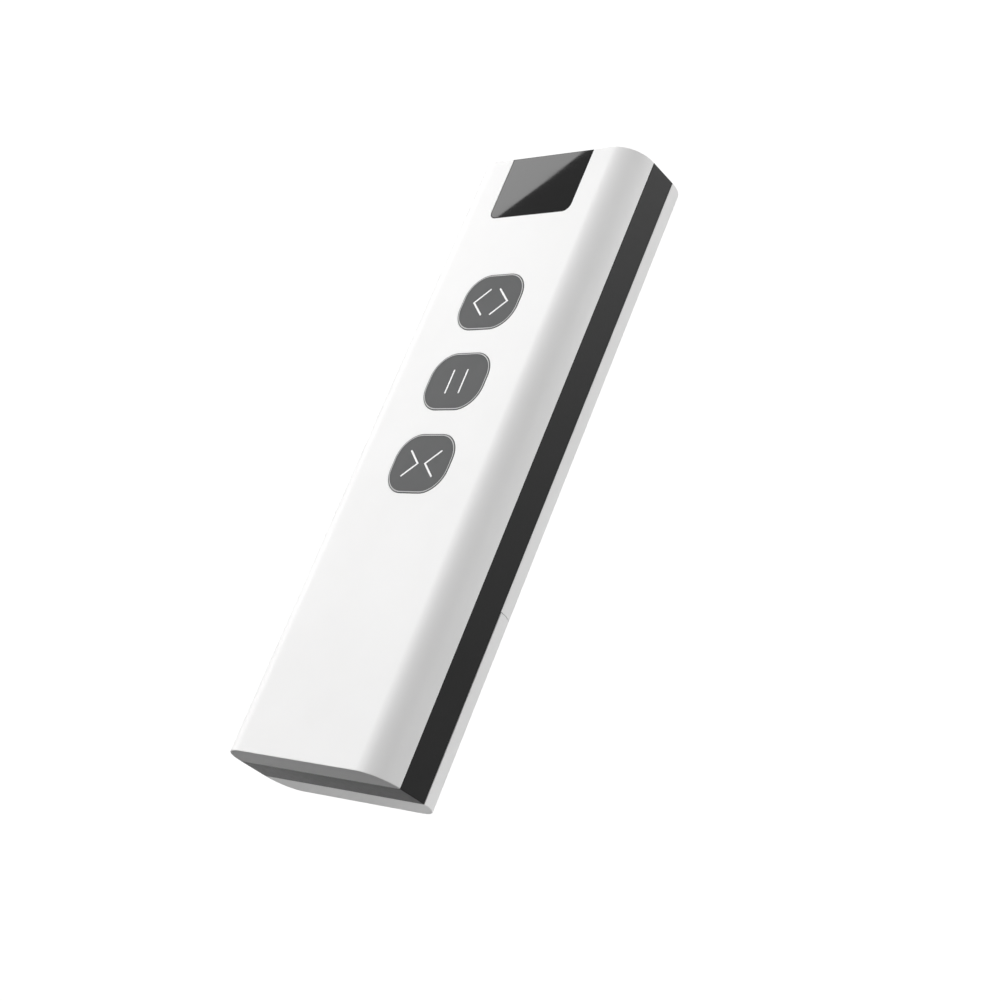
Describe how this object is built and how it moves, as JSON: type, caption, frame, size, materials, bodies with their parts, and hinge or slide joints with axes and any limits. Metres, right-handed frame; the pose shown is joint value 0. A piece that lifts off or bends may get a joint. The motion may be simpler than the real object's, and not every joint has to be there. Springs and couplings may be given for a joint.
{
  "type": "curtain remote control",
  "caption": "Slim handheld remote control for a motorised curtain: open, pause and close keys, dark indicator window, dark waistband and a sliding battery cover.",
  "frame": {"origin": "middle of the flat rear face, which the remote lies on", "axes": "+Y along the body towards the indicator window, +Z out of the face with the keys, +X to the right as the keys are read"},
  "size_m": [0.0426, 0.13, 0.0184],
  "materials": {
    "white_shell": "fine satin moulded white",
    "dark_band": "matt charcoal",
    "dark_lens": "polished smoked acrylic",
    "black_tape": "thin double-sided tape",
    "clear_guide": "clear acrylic",
    "lamp_body": "white package with a clear dome",
    "board_green": "green solder mask",
    "copper_track": "bare copper",
    "chip_black": "black moulded package",
    "plated_steel": "nickel plated",
    "tray_grey": "dark grey moulding",
    "cell_sleeve": "plain printed sleeve",
    "screw_steel": "blackened steel",
    "key_grey": "satin dark grey",
    "symbol_white": "white second shot",
    "switch_black": "black moulding",
    "plunger_black": "black moulding"
  },
  "bodies": {
    "root": {"antenna_track": "copper_track", "battery_cell": "cell_sleeve", "battery_terminal": "plated_steel", "battery_tray": "tray_grey", "board_screws": "screw_steel", "circuit_board": "board_green", "crystal": "plated_steel", "front_shell": "white_shell", "housing_screws": "screw_steel", "indicator_lamp": "lamp_body", "lens_tape": "black_tape", "light_guide": "clear_guide", "mid_frame": "dark_band", "negative_contact": "plated_steel", "positive_contact": "plated_steel", "radio_controller": "chip_black", "rear_shell": "white_shell", "small_chips": "chip_black", "switch_base_close": "switch_black", "switch_base_open": "switch_black", "switch_base_pause": "switch_black", "switch_dome_close": "plated_steel", "switch_dome_open": "plated_steel", "switch_dome_pause": "plated_steel", "switch_plate_close": "plated_steel", "switch_plate_open": "plated_steel", "switch_plate_pause": "plated_steel", "tray_screws": "screw_steel", "window_lens": "dark_lens"},
    "cover": {"battery_cover": "white_shell"},
    "open_key": {"key_open": "key_grey", "symbol_open": "symbol_white", "switch_plunger_open": "plunger_black"},
    "pause_key": {"key_pause": "key_grey", "symbol_pause": "symbol_white", "switch_plunger_pause": "plunger_black"},
    "close_key": {"key_close": "key_grey", "symbol_close": "symbol_white", "switch_plunger_close": "plunger_black"}
  },
  "joints": [
    {"name": "battery_cover_slide", "type": "slide", "parent": "root", "child": "cover", "axis": [0, -1, 0], "range_m": [0, 0.042]},
    {"name": "open_key_press", "type": "slide", "parent": "root", "child": "open_key", "axis": [0, 0, -1], "range_m": [0, 0.0003], "stiffness_N_per_m": 5000, "deforming": ["switch_dome_open"]},
    {"name": "pause_key_press", "type": "slide", "parent": "root", "child": "pause_key", "axis": [0, 0, -1], "range_m": [0, 0.0003], "stiffness_N_per_m": 5000, "deforming": ["switch_dome_pause"]},
    {"name": "close_key_press", "type": "slide", "parent": "root", "child": "close_key", "axis": [0, 0, -1], "range_m": [0, 0.0003], "stiffness_N_per_m": 5000, "deforming": ["switch_dome_close"]}
  ]
}
